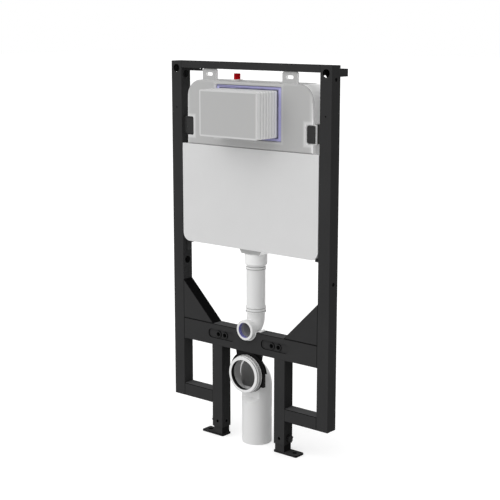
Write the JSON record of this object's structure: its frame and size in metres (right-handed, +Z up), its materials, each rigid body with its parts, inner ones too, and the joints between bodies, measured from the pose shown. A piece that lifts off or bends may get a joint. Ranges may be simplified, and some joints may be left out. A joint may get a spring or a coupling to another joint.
{
  "type": "wall hung toilet frame",
  "caption": "Steel floor and wall frame for a wall hung toilet, with a flat concealed cistern, flush pipe, waste bend and sliding feet.",
  "frame": {"origin": "centre of the left leg on the underside of the left foot plate", "axes": "+X to the right of someone facing the frame, +Y from the front to the wall, +Z up"},
  "size_m": [0.589, 0.177, 1.135],
  "materials": {
    "frame_paint": "satin black powder coat",
    "tank_plastic": "pale grey moulded plastic",
    "hood_plastic": "pale translucent looking plastic",
    "seal_blue": "soft lavender blue foam",
    "foam_panel": "white sheet, fine grain",
    "red_plastic": "red cap",
    "white_plastic": "white pipe plastic",
    "blue_rubber": "blue grey seal",
    "black_rubber": "black seal",
    "black_plastic": "black moulded plastic",
    "dark_steel": "dark plated steel"
  },
  "bodies": {
    "left_foot": {"left_foot": "frame_paint"},
    "frame": {"access_hood": "hood_plastic", "access_seal": "seal_blue", "crossbar": "frame_paint", "flush_bend": "white_plastic", "flush_cradle": "white_plastic", "flush_pipe": "white_plastic", "flush_ring": "white_plastic", "flush_seal": "blue_rubber", "inlet_cap": "red_plastic", "inlet_fitting": "tank_plastic", "insulation_panel": "foam_panel", "left_bracket_bolt": "dark_steel", "left_gusset": "frame_paint", "left_inner_insert": "black_plastic", "left_leg": "frame_paint", "left_leg_screw": "dark_steel", "left_lower_rail": "frame_paint", "left_outer_insert": "black_plastic", "left_tank_clip": "black_plastic", "left_tank_rest": "frame_paint", "left_upright": "frame_paint", "left_wall_bracket": "frame_paint", "left_waste_strap": "black_plastic", "outlet_nut": "white_plastic", "pipe_ring": "white_plastic", "right_bracket_bolt": "dark_steel", "right_gusset": "frame_paint", "right_inner_insert": "black_plastic", "right_leg": "frame_paint", "right_leg_screw": "dark_steel", "right_lower_rail": "frame_paint", "right_outer_insert": "black_plastic", "right_tank_clip": "black_plastic", "right_tank_rest": "frame_paint", "right_upright": "frame_paint", "right_wall_bracket": "frame_paint", "right_waste_strap": "black_plastic", "tank": "tank_plastic", "top_rail": "frame_paint", "waste_bend": "white_plastic", "waste_bracket": "black_plastic", "waste_ring": "white_plastic", "waste_seal": "black_rubber"},
    "right_foot": {"right_foot": "frame_paint"}
  },
  "joints": [
    {"name": "left_leg_slide", "type": "slide", "parent": "left_foot", "child": "frame", "axis": [0, 0, 1], "range_m": [0, 0.2]},
    {"name": "right_leg_slide", "type": "slide", "parent": "frame", "child": "right_foot", "axis": [0, 0, -1], "range_m": [0, 0.2]}
  ],
  "couplings": [
    {"joint": "right_leg_slide", "follows": "left_leg_slide", "ratio": 1}
  ]
}
